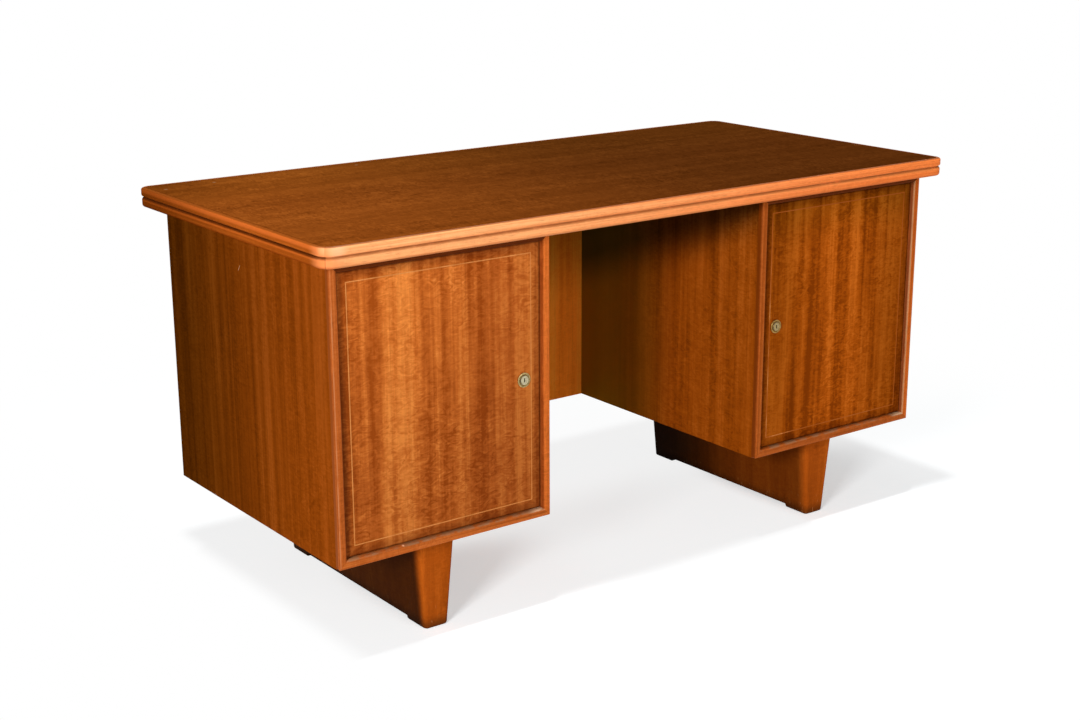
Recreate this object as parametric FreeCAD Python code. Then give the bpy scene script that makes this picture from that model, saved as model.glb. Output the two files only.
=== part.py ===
"""Twin-pedestal desk: a lipped top on two cupboard pedestals that stand on sled runners.

Millimetres. The floor is z = 0 and the origin lies on it under the middle of the top. +X runs along
the desk's length, and the sitter's side, which has the doors, faces -Y. The right pedestal is modelled
and mirrored to give the left one.
"""
import FreeCAD
import Part
import math
import os

# The whole desk
top_length = 1500.0
top_depth = 725.0
desk_height = 765.0
side_overhang = 31.0
front_overhang = 40.0
back_overhang = 63.0

# Top: a veneered core inside a solid lipping that is worked into two beads
top_thickness = 37.0
top_corner_radius = 25.0
lipping_width = 9.0
upper_bead_height = 16.5
upper_bead_top_radius = 4.5
upper_bead_low_radius = 4.0
bead_groove_width = 1.5
bead_groove_depth = 5.5
lower_bead_setback = 0.6
lower_bead_radius = 5.5

# Pedestal boards
pedestal_width = 456.0
runner_height = 184.0
board = 16.0
back_board = 12.0

# Solid frame round the pedestal's front
frame_depth = 12.0
frame_outer_radius = 3.0
frame_inner_radius = 4.0

# Door and its string inlay
door_thickness = 19.0
door_recess = 9.0
door_gap = 1.8
inlay_margin = 18.0
inlay_width = 2.0
inlay_depth = 0.8

# Pivot hinges, one let into each end of the door
hinge_inset = 30.0
hinge_plate_length = 60.0
hinge_plate_width = 10.0
hinge_plate_thickness = 2.5
hinge_plate_setback = 1.0
hinge_end = 12.0
hinge_pin_radius = 2.5
hinge_pad_width = 9.0
hinge_fit = 0.05
hinge_end_play = 0.1

# Lock: rosette, case with barrel, plug with an eccentric pin, slotted bolt, strike plate
lock_backset = 36.0
rosette_radius = 14.0
rosette_rim_width = 2.2
rosette_rim_height = 2.2
rosette_channel_height = 1.3
barrel_radius = 8.5
barrel_proud = 3.6
barrel_play = 0.1
plug_radius = 5.5
plug_fit = 0.05
plug_recess = 0.4
keyway_width = 1.8
keyway_height = 7.0
keyway_depth = 5.0
cam_thickness = 2.0
cam_margin = 1.5
cam_pin_radius = 2.0
cam_pin_play = 0.4
bolt_throw = 9.0
bolt_thickness = 5.0
bolt_tongue_height = 12.0
bolt_margin = 3.0
bolt_play = 0.3
case_length = 64.0
case_height = 40.0
case_wall = 2.0
case_setback = 0.5
plug_turn = math.radians(90)
strike_thickness = 1.5
strike_width = 11.0
strike_height = 34.0
strike_play = 0.6

# Shelf and the battens that it lies on
shelf_thickness = 16.0
shelf_play = 0.7
shelf_clearance = 4.0
batten_width = 16.0
batten_height = 24.0
batten_inset = 22.0

# Door stop on the carcass bottom
stop_length = 60.0
stop_depth = 14.0
stop_height = 12.0
stop_play = 0.3

# Runner: a tapered beam, relieved below so that it stands on a front and a rear pad
runner_top_width = 80.0
runner_foot_width = 51.0
runner_front_setback = 41.0
runner_back_setback = 59.0
runner_rake = 7.0
runner_corner_radius = 9.0
runner_toe_height = 5.0
runner_toe_inset = 3.5
pad_length = 57.0
relief_height = 8.0
relief_slope = 8.0

# Modesty panel and the cleats behind it
modesty_thickness = 18.0
modesty_setback = 21.0
cleat_size = 20.0

overrun = 1.0
same_place = 1e-4

# Places that follow from the sizes
half_length = top_length / 2
half_depth = top_depth / 2
top_underside = desk_height - top_thickness
outer_x = half_length - side_overhang
inner_x = outer_x - pedestal_width
front_y = -half_depth + front_overhang
back_y = half_depth - back_overhang
board_front_y = front_y + frame_depth
back_face_y = back_y - back_board
bay_inner_x = inner_x + board
bay_outer_x = outer_x - board
bay_low_z = runner_height + board
bay_high_z = top_underside - board
door_inner_x = bay_inner_x + door_gap
door_outer_x = bay_outer_x - door_gap
door_low_z = bay_low_z + door_gap
door_high_z = bay_high_z - door_gap
door_face_y = front_y + door_recess
door_back_y = door_face_y + door_thickness
pivot_x = door_outer_x - hinge_inset
pivot_y = board_front_y + hinge_plate_setback + hinge_plate_width / 2
lock_x = door_inner_x + lock_backset
lock_z = (door_low_z + door_high_z) / 2
cam_throw = bolt_throw / 2 / math.sin(plug_turn / 2)
cam_back_y = door_back_y + case_wall + bolt_play + cam_thickness
bolt_front_y = cam_back_y + bolt_play
bolt_back_y = bolt_front_y + bolt_thickness
case_back_y = bolt_back_y + bolt_play + case_wall
bolt_tip_x = door_inner_x + case_setback + bolt_play
shelf_low_z = (bay_low_z + bay_high_z - shelf_thickness) / 2
door_swing_radius = math.hypot(hinge_inset, door_back_y - pivot_y)
shelf_front_y = pivot_y + door_swing_radius + shelf_clearance
runner_x = (inner_x + outer_x) / 2
runner_front_y = front_y + runner_front_setback
runner_back_y = back_y - runner_back_setback


def box(x0, x1, y0, y1, z0, z1):
    """A block between two corners."""
    return Part.makeBox(x1 - x0, y1 - y0, z1 - z0, FreeCAD.Vector(x0, y0, z0))


def rod(radius, start, direction, length):
    """A round rod from a start point along a direction."""
    return Part.makeCylinder(radius, length, FreeCAD.Vector(*start), FreeCAD.Vector(*direction))


def prism(corners, thickness):
    """A straight prism on a flat outline of three or more corners."""
    points = [FreeCAD.Vector(*corner) for corner in corners]
    outline = Part.makePolygon(points + points[:1])
    return Part.Face(outline).extrude(FreeCAD.Vector(*thickness))


def edges_at(shape, axis, value):
    """The edges whose ends both lie in one plane across an axis."""
    def lies_there(edge):
        return all(abs(getattr(vertex, axis) - value) < same_place for vertex in edge.Vertexes)
    return [edge for edge in shape.Edges if lies_there(edge)]


def mitre_outlines(a0, a1, b0, b1, reach):
    """Outlines of the four sides of a rectangular frame, cut at 45 degrees from its corners."""
    return {
        "low_b": [(a0, b0), (a1, b0), (a1 - reach, b0 + reach), (a0 + reach, b0 + reach)],
        "high_b": [(a0, b1), (a1, b1), (a1 - reach, b1 - reach), (a0 + reach, b1 - reach)],
        "low_a": [(a0, b0), (a0, b1), (a0 + reach, b1 - reach), (a0 + reach, b0 + reach)],
        "high_a": [(a1, b0), (a1, b1), (a1 - reach, b1 - reach), (a1 - reach, b0 + reach)],
    }


def upright_mitres(ring, x0, x1, z0, z1, y0, y1, reach):
    """Cut a frame that stands in the XZ plane into its four mitred sides."""
    sides = {}
    for side, outline in mitre_outlines(x0, x1, z0, z1, reach).items():
        wedge = prism([(x, y0, z) for x, z in outline], (0, y1 - y0, 0))
        sides[side] = ring.common(wedge)
    return sides


def top_slab(inset, z0, z1):
    """The top's rounded plan, drawn in by an inset, between two heights."""
    half_x = half_length - inset
    half_y = half_depth - inset
    slab = box(-half_x, half_x, -half_y, half_y, z0, z1)
    uprights = [edge for edge in slab.Edges if edge.BoundBox.ZLength > (z1 - z0) / 2]
    return slab.makeFillet(top_corner_radius - inset, uprights)


def bead(inset, z0, z1, high_radius, low_radius):
    """A slab of the top's plan with both of its rims rounded."""
    slab = top_slab(inset, z0, z1)
    slab = slab.makeFillet(high_radius, edges_at(slab, "Z", z1))
    return slab.makeFillet(low_radius, edges_at(slab, "Z", z0))


def top_pieces():
    """The core panel and the four lippings with their two beads."""
    upper_low = desk_height - upper_bead_height
    lower_high = upper_low - bead_groove_width
    upper = bead(0, upper_low, desk_height, upper_bead_top_radius, upper_bead_low_radius)
    lower = bead(lower_bead_setback, top_underside, lower_high, lower_bead_radius, lower_bead_radius)
    neck = top_slab(bead_groove_depth, lower_high - overrun, upper_low + overrun)
    solid = upper.fuse([neck, lower]).removeSplitter()
    ring = solid.cut(top_slab(lipping_width, top_underside - overrun, desk_height + overrun))
    pieces = {"top_panel": top_slab(lipping_width, top_underside, desk_height)}
    names = {"low_b": "front", "high_b": "back", "low_a": "left", "high_a": "right"}
    reach = lipping_width + top_corner_radius
    outlines = mitre_outlines(-half_length, half_length, -half_depth, half_depth, reach)
    for side, outline in outlines.items():
        wedge = prism([(x, y, top_underside) for x, y in outline], (0, 0, top_thickness))
        pieces[f"top_{names[side]}_lipping"] = ring.common(wedge)
    return pieces


def modesty_pieces():
    """The panel across the back of the kneehole and the two cleats that hold it."""
    panel_back = back_y - modesty_setback
    panel_front = panel_back - modesty_thickness
    panel = box(-inner_x, inner_x, panel_front, panel_back, runner_height, top_underside)
    cleat = box(inner_x - cleat_size, inner_x, panel_back, panel_back + cleat_size, bay_low_z, bay_high_z)
    return {"modesty_panel": panel, "modesty_cleats": Part.makeCompound([cleat, mirrored(cleat)])}


def mirrored(shape):
    """The same piece on the other side of the desk."""
    return shape.mirror(FreeCAD.Vector(0, 0, 0), FreeCAD.Vector(1, 0, 0))


def strike_outline(play):
    """Limits in Y and Z of the bolt's way through the strike, with some play round it."""
    middle_y = (bolt_front_y + bolt_back_y) / 2
    half_y = bolt_thickness / 2 + play
    half_z = bolt_tongue_height / 2 + play
    return middle_y - half_y, middle_y + half_y, lock_z - half_z, lock_z + half_z


def strike_seat():
    """The block that the strike plate fills, flush with the inner side's face."""
    middle_y = (bolt_front_y + bolt_back_y) / 2
    half_y = strike_width / 2
    half_z = strike_height / 2
    return box(bay_inner_x - strike_thickness, bay_inner_x, middle_y - half_y, middle_y + half_y,
               lock_z - half_z, lock_z + half_z)


def bolt_way(from_x, to_x):
    """The slot that the thrown bolt's tongue goes into."""
    return box(from_x, to_x, *strike_outline(strike_play))


def carcass_pieces():
    """Sides, bottom, top and back of the right pedestal, with the strike plate."""
    inner = box(inner_x, bay_inner_x, board_front_y, back_y, runner_height, top_underside)
    thrown_tip = bolt_tip_x - bolt_throw - strike_play
    inner = inner.cut(strike_seat()).cut(bolt_way(thrown_tip, bay_inner_x))
    outer = box(bay_outer_x, outer_x, board_front_y, back_y, runner_height, top_underside)
    bottom = box(bay_inner_x, bay_outer_x, board_front_y, back_y, runner_height, bay_low_z)
    bottom = bottom.cut(hinge_plate_blank(bay_low_z, -1))
    top = box(bay_inner_x, bay_outer_x, board_front_y, back_y, bay_high_z, top_underside)
    top = top.cut(hinge_plate_blank(bay_high_z, 1))
    back = box(bay_inner_x, bay_outer_x, back_face_y, back_y, bay_low_z, bay_high_z)
    strike = strike_seat().cut(bolt_way(bay_inner_x - strike_thickness - overrun, bay_inner_x + overrun))
    return {
        "inner_side": inner,
        "outer_side": outer,
        "carcass_bottom": bottom,
        "carcass_top": top,
        "back_panel": back,
        "strike_plate": strike,
    }


def frame_pieces():
    """The mitred solid frame that edges the right pedestal's front."""
    whole = box(inner_x, outer_x, front_y, board_front_y, runner_height, top_underside)
    hole = box(bay_inner_x, bay_outer_x, front_y - overrun, board_front_y + overrun, bay_low_z, bay_high_z)
    whole = whole.makeFillet(frame_outer_radius, edges_at(whole, "Y", front_y))
    ring = whole.cut(hole)
    inner_rim = [edge for edge in edges_at(ring, "Y", front_y) if within_bay(edge)]
    ring = ring.makeFillet(frame_inner_radius, inner_rim)
    sides = upright_mitres(ring, inner_x, outer_x, runner_height, top_underside, front_y, board_front_y, board)
    names = {"low_b": "bottom_rail", "high_b": "top_rail", "low_a": "inner_stile", "high_a": "outer_stile"}
    return {names[side]: shape for side, shape in sides.items()}


def within_bay(edge):
    """True for an edge that lies on the rim of the door opening."""
    inside_x = all(bay_inner_x - same_place < v.X < bay_outer_x + same_place for v in edge.Vertexes)
    inside_z = all(bay_low_z - same_place < v.Z < bay_high_z + same_place for v in edge.Vertexes)
    return inside_x and inside_z


def shelf_pieces():
    """The loose shelf and the two battens that it lies on."""
    shelf = box(bay_inner_x + shelf_play, bay_outer_x - shelf_play, shelf_front_y, back_face_y - shelf_play,
                shelf_low_z, shelf_low_z + shelf_thickness)
    battens = []
    for x0, x1 in ((bay_inner_x, bay_inner_x + batten_width), (bay_outer_x - batten_width, bay_outer_x)):
        battens.append(box(x0, x1, shelf_front_y + batten_inset, back_face_y,
                           shelf_low_z - batten_height, shelf_low_z))
    return {"shelf": shelf, "shelf_battens": Part.makeCompound(battens)}


def hinge_plate_blank(face_z, into):
    """A hinge plate as a plain strip, let into a face at face_z."""
    low_z, high_z = sorted((face_z, face_z + into * hinge_plate_thickness))
    half_y = hinge_plate_width / 2
    far_x = pivot_x + hinge_end
    return box(far_x - hinge_plate_length, far_x, pivot_y - half_y, pivot_y + half_y, low_z, high_z)


def hinge_pieces():
    """The four plates of the two pivot hinges. The door's plates carry the pins."""
    pieces = {}
    ends = (("lower", bay_low_z, door_low_z, -1), ("upper", bay_high_z, door_high_z, 1))
    for end, carcass_z, door_z, out in ends:
        fixed = hinge_plate_blank(carcass_z, out)
        eye_start = (pivot_x, pivot_y, carcass_z - out * overrun)
        eye_length = hinge_plate_thickness + 2 * overrun
        fixed = fixed.cut(rod(hinge_pin_radius + hinge_fit, eye_start, (0, 0, out), eye_length))
        swinging = hinge_plate_blank(door_z, -out)
        start = (pivot_x, pivot_y, door_z)
        half_pad = hinge_pad_width / 2
        pad_ends = sorted((door_z, door_z + out * (door_gap - hinge_end_play)))
        pad = box(pivot_x - half_pad, pivot_x + half_pad, pivot_y - half_pad, pivot_y + half_pad, *pad_ends)
        pin_length = door_gap + hinge_plate_thickness - hinge_end_play
        pin = rod(hinge_pin_radius, start, (0, 0, out), pin_length)
        pieces[f"{end}_hinge_carcass_plate"] = fixed
        pieces[f"{end}_hinge_pin_plate"] = swinging.fuse([pad, pin]).removeSplitter()
    return pieces


def inlay_pieces():
    """The four strips of pale string let into the door's face."""
    x0, x1 = door_inner_x + inlay_margin, door_outer_x - inlay_margin
    z0, z1 = door_low_z + inlay_margin, door_high_z - inlay_margin
    back = door_face_y + inlay_depth
    whole = box(x0, x1, door_face_y, back, z0, z1)
    hole = box(x0 + inlay_width, x1 - inlay_width, door_face_y, back, z0 + inlay_width, z1 - inlay_width)
    sides = upright_mitres(whole.cut(hole), x0, x1, z0, z1, door_face_y, back, inlay_width)
    return list(sides.values())


def door_pieces():
    """The door panel and its inlay."""
    door = box(door_inner_x, door_outer_x, door_face_y, door_back_y, door_low_z, door_high_z)
    inlay = inlay_pieces()
    door = door.cut(inlay)
    door = door.cut(hinge_plate_blank(door_low_z, 1)).cut(hinge_plate_blank(door_high_z, -1))
    bore_start = (lock_x, door_face_y - overrun, lock_z)
    bore = rod(barrel_radius + barrel_play, bore_start, (0, 1, 0), door_thickness + 2 * overrun)
    return {"door": door.cut(bore), "door_inlay": Part.makeCompound(inlay)}


def turned(profile):
    """A solid turned round the lock's axis from (radius, height above the door) points."""
    points = [FreeCAD.Vector(lock_x + radius, door_face_y - height, lock_z) for radius, height in profile]
    face = Part.Face(Part.makePolygon(points + points[:1]))
    return face.revolve(FreeCAD.Vector(lock_x, 0, lock_z), FreeCAD.Vector(0, 1, 0), 360)


def rosette():
    """The turned rosette: a raised rim and a channel round the barrel."""
    hole = barrel_radius + barrel_play
    rim = rosette_radius - rosette_rim_width
    return turned([
        (hole, 0),
        (rosette_radius, 0),
        (rosette_radius, rosette_rim_height),
        (rim, rosette_rim_height),
        (rim, rosette_channel_height),
        (hole, rosette_channel_height),
    ])


def bolt():
    """The sliding bolt, drawn back: a tongue, and a plate with an upright slot for the cam pin."""
    rest_pin_x = lock_x + bolt_throw / 2
    pin_low = cam_throw * math.cos(plug_turn / 2) - cam_pin_radius - cam_pin_play
    pin_high = cam_throw + cam_pin_radius + cam_pin_play
    half_slot = cam_pin_radius + cam_pin_play
    plate_high = pin_high + bolt_margin
    plate_x = rest_pin_x - half_slot - bolt_margin
    plate = box(plate_x, rest_pin_x + half_slot + bolt_margin, bolt_front_y, bolt_back_y,
                lock_z - bolt_tongue_height / 2, lock_z + plate_high)
    tongue = box(bolt_tip_x, plate_x + overrun, bolt_front_y, bolt_back_y,
                 lock_z - bolt_tongue_height / 2, lock_z + bolt_tongue_height / 2)
    slot = box(rest_pin_x - half_slot, rest_pin_x + half_slot, bolt_front_y - overrun, bolt_back_y + overrun,
               lock_z + pin_low, lock_z + pin_high)
    return plate.fuse(tongue).removeSplitter().cut(slot)


def plug():
    """The turning plug: keyway in front, a lever with its eccentric pin behind."""
    key_y = door_face_y - barrel_proud + plug_recess
    cam_front_y = cam_back_y - cam_thickness
    body = rod(plug_radius, (lock_x, key_y, lock_z), (0, 1, 0), cam_front_y - key_y)
    half_lever = cam_pin_radius + cam_margin
    lever = box(lock_x - half_lever, lock_x + half_lever, cam_front_y, cam_back_y,
                lock_z - plug_radius, lock_z + cam_throw + half_lever)
    pin_start = (lock_x, cam_front_y, lock_z + cam_throw)
    pin = rod(cam_pin_radius, pin_start, (0, 1, 0), cam_thickness + bolt_play + bolt_thickness)
    crank = lever.fuse(pin)
    crank.rotate(FreeCAD.Vector(lock_x, 0, lock_z), FreeCAD.Vector(0, 1, 0), math.degrees(plug_turn / 2))
    keyway = box(lock_x - keyway_width / 2, lock_x + keyway_width / 2, key_y, key_y + keyway_depth,
                 lock_z - keyway_height / 2, lock_z + keyway_height / 2)
    return body.fuse(crank).removeSplitter().cut(keyway)


def lock_case():
    """The case on the door's back, hollow for the cam and bolt, with the barrel in front."""
    x0 = door_inner_x + case_setback
    x1 = x0 + case_length
    z0 = lock_z - case_height / 2
    z1 = lock_z + case_height / 2
    case = box(x0, x1, door_back_y, case_back_y, z0, z1)
    hollow = box(x0 + case_wall, x1 - case_wall, door_back_y + case_wall, case_back_y - case_wall,
                 z0 + case_wall, z1 - case_wall)
    mouth = box(x0 - overrun, x0 + case_wall + overrun, *strike_outline(bolt_play))
    barrel_front_y = door_face_y - barrel_proud
    barrel = rod(barrel_radius, (lock_x, barrel_front_y, lock_z), (0, 1, 0), door_back_y - barrel_front_y)
    bore_length = door_back_y + case_wall - barrel_front_y + 2 * overrun
    bore = rod(plug_radius + plug_fit, (lock_x, barrel_front_y - overrun, lock_z), (0, 1, 0), bore_length)
    return case.fuse(barrel).removeSplitter().cut([hollow, mouth, bore])


def door_stop():
    """The block on the carcass bottom that the closed door comes to rest against."""
    front = door_back_y + stop_play
    middle = (door_inner_x + door_outer_x) / 2
    return box(middle - stop_length / 2, middle + stop_length / 2, front, front + stop_depth,
               bay_low_z, bay_low_z + stop_height)


def runner_outline(height, inset):
    """The runner's rounded outline at a height above the floor, drawn in by an inset."""
    rise_share = height / runner_height
    half_x = (runner_foot_width + (runner_top_width - runner_foot_width) * rise_share) / 2 - inset
    front = runner_front_y + runner_rake * (1 - rise_share) + inset
    back = runner_back_y - runner_rake * (1 - rise_share) - inset
    radius = runner_corner_radius - inset
    bow = radius * (1 - math.sqrt(1 / 2))
    corners = (
        (runner_x - half_x, front, 1, 1),
        (runner_x + half_x, front, -1, 1),
        (runner_x + half_x, back, -1, -1),
        (runner_x - half_x, back, 1, -1),
    )
    arcs = []
    for x, y, to_x, to_y in corners:
        along_y = FreeCAD.Vector(x, y + to_y * radius, height)
        along_x = FreeCAD.Vector(x + to_x * radius, y, height)
        middle = FreeCAD.Vector(x + to_x * bow, y + to_y * bow, height)
        ends = (along_y, along_x) if to_x == to_y else (along_x, along_y)
        arcs.append((ends[0], middle, ends[1]))
    edges = []
    for (start, middle, end), following in zip(arcs, arcs[1:] + arcs[:1]):
        edges.append(Part.Arc(start, middle, end).toShape())
        edges.append(Part.LineSegment(end, following[0]).toShape())
    return Part.Wire(edges)


def runner():
    """The sled runner: tapered and raked, its toe rounded off, relieved between the pads."""
    toe_middle = runner_toe_height * (1 - math.sqrt(1 / 2))
    inset_middle = runner_toe_inset * (1 - math.sqrt(1 / 2))
    sections = [
        runner_outline(0, runner_toe_inset),
        runner_outline(toe_middle, inset_middle),
        runner_outline(runner_toe_height, 0),
        runner_outline(runner_height, 0),
    ]
    beam = Part.makeLoft(sections, True, True)
    low = runner_front_y + runner_rake + pad_length
    high = runner_back_y - runner_rake - pad_length
    west = runner_x - runner_top_width
    relief = prism([
        (west, low, -overrun),
        (west, low, 0),
        (west, low + relief_slope, relief_height),
        (west, high - relief_slope, relief_height),
        (west, high, 0),
        (west, high, -overrun),
    ], (2 * runner_top_width, 0, 0))
    return beam.cut(relief)


def pedestal_pieces():
    """Every piece of the right pedestal, by name."""
    pieces = {}
    pieces.update(carcass_pieces())
    pieces.update(frame_pieces())
    pieces.update(shelf_pieces())
    pieces.update(hinge_pieces())
    pieces.update(door_pieces())
    pieces["lock_rosette"] = rosette()
    pieces["lock_case"] = lock_case()
    pieces["lock_plug"] = plug()
    pieces["lock_bolt"] = bolt()
    pieces["door_stop"] = door_stop()
    pieces["runner"] = runner()
    return pieces


def desk_pieces():
    """Every piece of the desk, by name."""
    pieces = top_pieces()
    pieces.update(modesty_pieces())
    for name, shape in pedestal_pieces().items():
        pieces[f"right_{name}"] = shape
        pieces[f"left_{name}"] = mirrored(shape)
    return pieces


os.makedirs("parts", exist_ok=True)
for node, solid in desk_pieces().items():
    solid.exportStep(f"parts/{node}.step")
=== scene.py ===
"""A twin-pedestal writing desk in striped brown veneer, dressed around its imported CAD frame.

Metres, in the desk's own frame: the floor is z = 0, the length runs along X, the doors face -Y.
"""

import math

import bmesh
import bpy
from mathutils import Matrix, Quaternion, Vector


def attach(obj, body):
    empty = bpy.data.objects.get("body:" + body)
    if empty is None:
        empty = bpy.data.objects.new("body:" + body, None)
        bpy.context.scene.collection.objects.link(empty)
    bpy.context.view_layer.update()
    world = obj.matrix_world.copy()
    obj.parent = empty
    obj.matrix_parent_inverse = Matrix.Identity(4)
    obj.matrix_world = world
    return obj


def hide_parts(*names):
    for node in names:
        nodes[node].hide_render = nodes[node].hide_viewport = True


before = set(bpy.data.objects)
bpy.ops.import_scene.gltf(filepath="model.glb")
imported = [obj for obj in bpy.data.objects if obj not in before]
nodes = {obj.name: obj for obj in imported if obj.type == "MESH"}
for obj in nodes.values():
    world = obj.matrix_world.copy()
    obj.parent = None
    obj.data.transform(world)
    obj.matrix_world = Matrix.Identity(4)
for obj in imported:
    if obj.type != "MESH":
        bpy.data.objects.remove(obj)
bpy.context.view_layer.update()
PEDESTALS = {"left": -1, "right": 1}
CLOSE = 0.0001  # how near a place has to be to count as there
MOSTLY = 0.9  # how far a direction has to lie along an axis to count as along it
LEVEL = 0.9999  # the same, for a face that has to be flat


# Runners. One tapered beam of solid wood under each pedestal, screwed up into its bottom board.
# Planed to a taper, its uprights and toe rounded over, relieved below so that only a front and a
# rear pad stand on the floor. Rubbed satin lacquer, darker and scuffed towards the floor.
def start_box(name, low, high):
    """A new box between two corners, with its place in its mesh."""
    bpy.ops.object.select_all(action="DESELECT")
    low, high = Vector(low), Vector(high)
    bpy.ops.mesh.primitive_cube_add(size=1, location=(low + high) / 2, scale=high - low)
    bpy.ops.object.transform_apply(location=True, rotation=True, scale=True)
    piece = bpy.context.object
    piece.name = name
    return piece


def choose(kind, test):
    """Select the faces or edges of the open mesh that pass a test of their middle and direction."""
    bpy.ops.mesh.select_mode(type=kind)
    bpy.ops.mesh.select_all(action="DESELECT")
    shape = bmesh.from_edit_mesh(bpy.context.object.data)
    if kind == "FACE":
        for face in shape.faces:
            if test(face.calc_center_median(), face.normal):
                face.select_set(True)
    else:
        for edge in shape.edges:
            start, end = (point.co for point in edge.verts)
            if test((start + end) / 2, (end - start).normalized()):
                edge.select_set(True)
    bmesh.update_edit_mesh(bpy.context.object.data)


def make_active(piece):
    """Select one piece and nothing else."""
    bpy.ops.object.select_all(action="DESELECT")
    piece.select_set(True)
    bpy.context.view_layer.objects.active = piece


def cut_away(piece, cutter):
    """Take one shape out of another and drop the cutter."""
    make_active(piece)
    cut = piece.modifiers.new("cut", "BOOLEAN")
    cut.operation = "DIFFERENCE"
    cut.object = cutter
    bpy.ops.object.modifier_apply(modifier=cut.name)
    bpy.data.objects.remove(cutter)


def smooth():
    """Shade the active piece smooth across its shallow edges."""
    bpy.ops.object.shade_smooth_by_angle(angle=math.radians(40))


def another(piece, name, move=(0, 0, 0)):
    """A copy of a piece with its own mesh, moved to a new place."""
    twin = piece.copy()
    twin.data = piece.data.copy()
    twin.name = name
    bpy.context.scene.collection.objects.link(twin)
    make_active(twin)
    twin.location = move
    bpy.ops.object.transform_apply(location=True, rotation=False, scale=False)
    return twin


def fit(piece, material, body, slot, *stands_for):
    """Give a finished piece its material, and fix it to the body it moves with."""
    piece.data.materials.clear()
    piece.data.materials.append(material)
    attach(piece, body)
    if stands_for:
        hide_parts(*stands_for)


def put(tree, kind, joined=None, **options):
    """Add a node, set its options, and fill or join its inputs."""
    node = tree.nodes.new(kind)
    for key, value in options.items():
        setattr(node, key, value)
    for key, value in (joined or {}).items():
        if isinstance(value, bpy.types.NodeSocket):
            tree.links.new(value, node.inputs[key])
        else:
            node.inputs[key].default_value = value
    return node


def place_on_piece(tree):
    """The piece's own coordinates, in metres."""
    return put(tree, "ShaderNodeTexCoord").outputs["Object"]


def noise(tree, scale, detail=2.0, rough=0.5, wander=0.0, shift=(0, 0, 0)):
    """Noise with its own scale along each axis, per metre."""
    stretched = put(tree, "ShaderNodeMapping", {"Vector": place_on_piece(tree), "Scale": scale,
                                                "Location": shift})
    return put(tree, "ShaderNodeTexNoise", {"Vector": stretched.outputs[0], "Scale": 1.0, "Detail": detail,
                                            "Roughness": rough, "Distortion": wander}).outputs[0]


def spread(tree, value, low, high, to_low=0.0, to_high=1.0):
    """Stretch the part of a value between two limits, softly, over a new range."""
    return put(tree, "ShaderNodeMapRange", {"Value": value, "From Min": low, "From Max": high,
                                            "To Min": to_low, "To Max": to_high},
               interpolation_type="SMOOTHSTEP").outputs[0]


def sum_up(tree, kind, first, second):
    """Two values put through one sum."""
    return put(tree, "ShaderNodeMath", {0: first, 1: second}, operation=kind).outputs[0]


def gather(tree, shares):
    """Add up noises, each by its share, about a middle of one half."""
    total = 0.5 - 0.5 * sum(share for value, share in shares)
    for value, share in shares:
        added = put(tree, "ShaderNodeMath", {0: value, 1: share, 2: total}, operation="MULTIPLY_ADD")
        total = added.outputs[0]
    return total


def blend(tree, mask, under, over, kind="MIX"):
    """Lay one colour over another through a mask."""
    mix = put(tree, "ShaderNodeMix", {0: mask, 6: under, 7: over}, data_type="RGBA", blend_type=kind)
    return mix.outputs[2]


def by_grain(along, across, length):
    """A scale for each axis: one number along the grain and one across it."""
    return tuple(length if axis == along else across for axis in "XYZ")


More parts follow.
